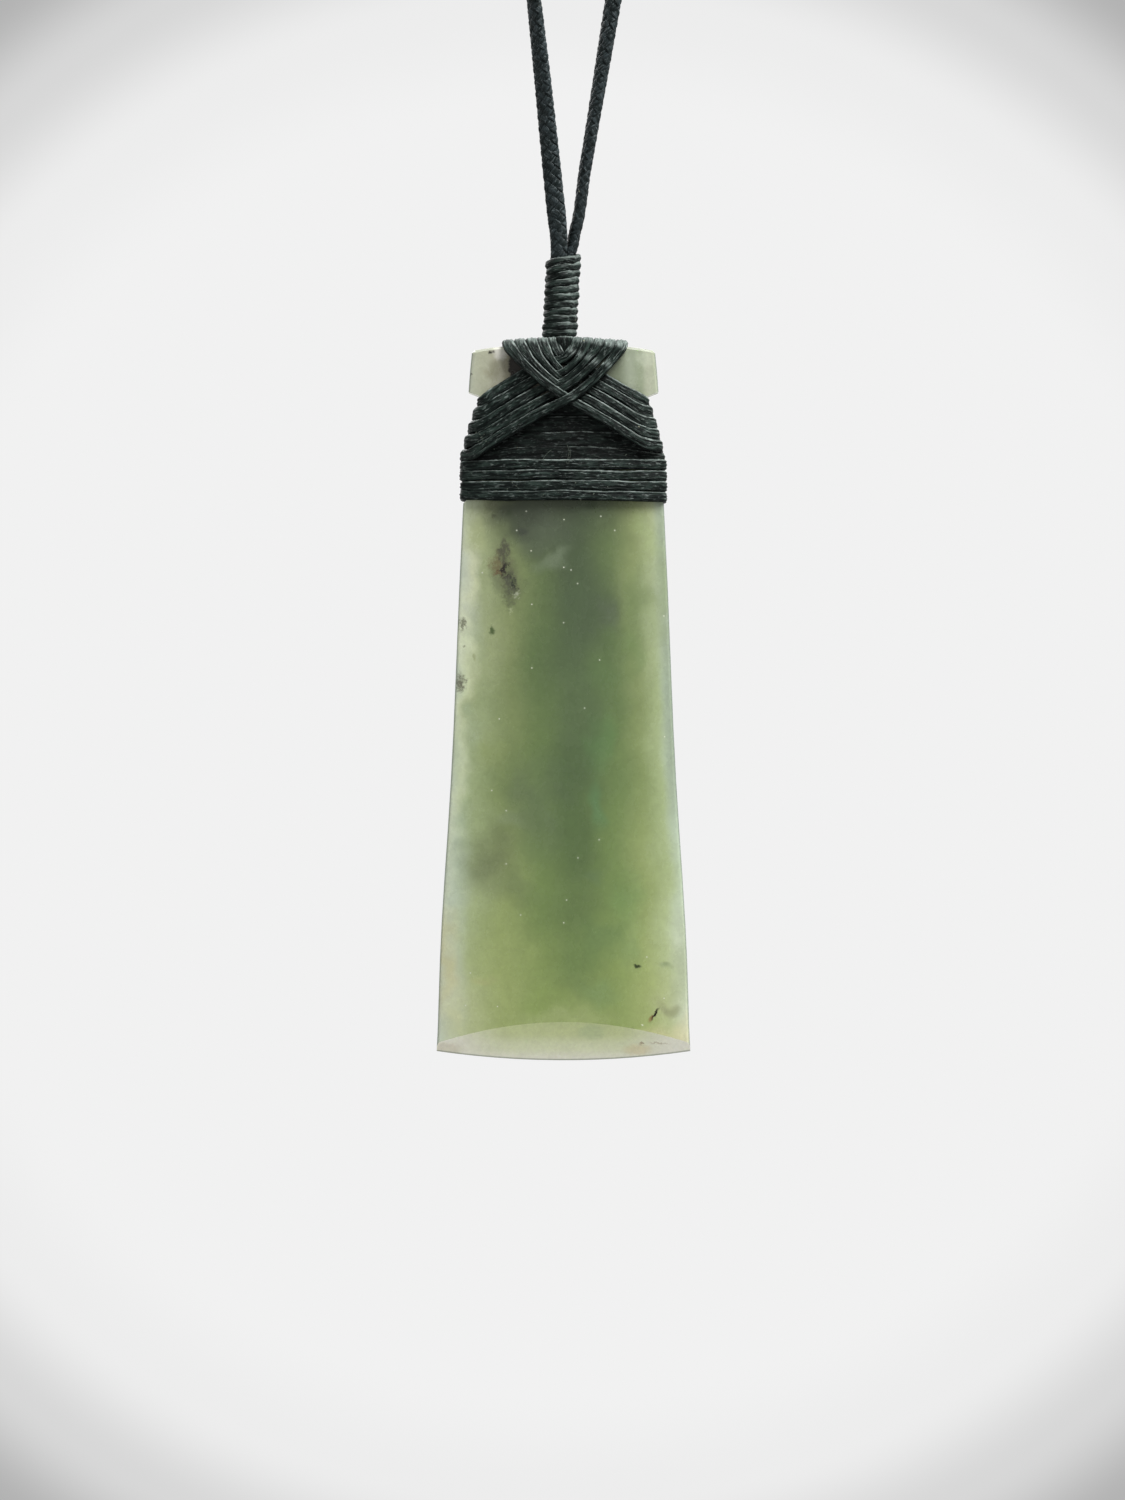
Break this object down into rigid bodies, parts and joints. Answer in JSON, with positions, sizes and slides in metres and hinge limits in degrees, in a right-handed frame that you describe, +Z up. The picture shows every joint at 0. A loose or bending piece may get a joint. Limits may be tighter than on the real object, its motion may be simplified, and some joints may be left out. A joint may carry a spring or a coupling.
{
  "type": "toki adze pendant on a neck cord",
  "caption": "Adze-blade pendant of green stone with a flared, bevelled edge and a lugged head, lashed with dark waxed thread and hung on a plaited neck cord.",
  "frame": {"origin": "inside the top of the cord's loop, where it rests on the neck", "axes": "+Z up, the blade hanging along -Z with its bevelled face towards -Y, +X to the wearer's left"},
  "size_m": [0.0678, 0.0086, 0.3517],
  "materials": {
    "green_stone": "polished, faintly translucent, with darker and paler clouds",
    "waxed_thread": "flat waxed strands with a low sheen",
    "plaited_cord": "tight plait with a low sheen"
  },
  "bodies": {
    "root": {"toki_blade": "green_stone", "lashing_wraps": "waxed_thread", "lashing_cross": "waxed_thread", "cord_whipping": "waxed_thread", "neck_cord_left": "plaited_cord", "neck_cord_right": "plaited_cord", "nape_sleeve": "plaited_cord"}
  },
  "joints": []
}
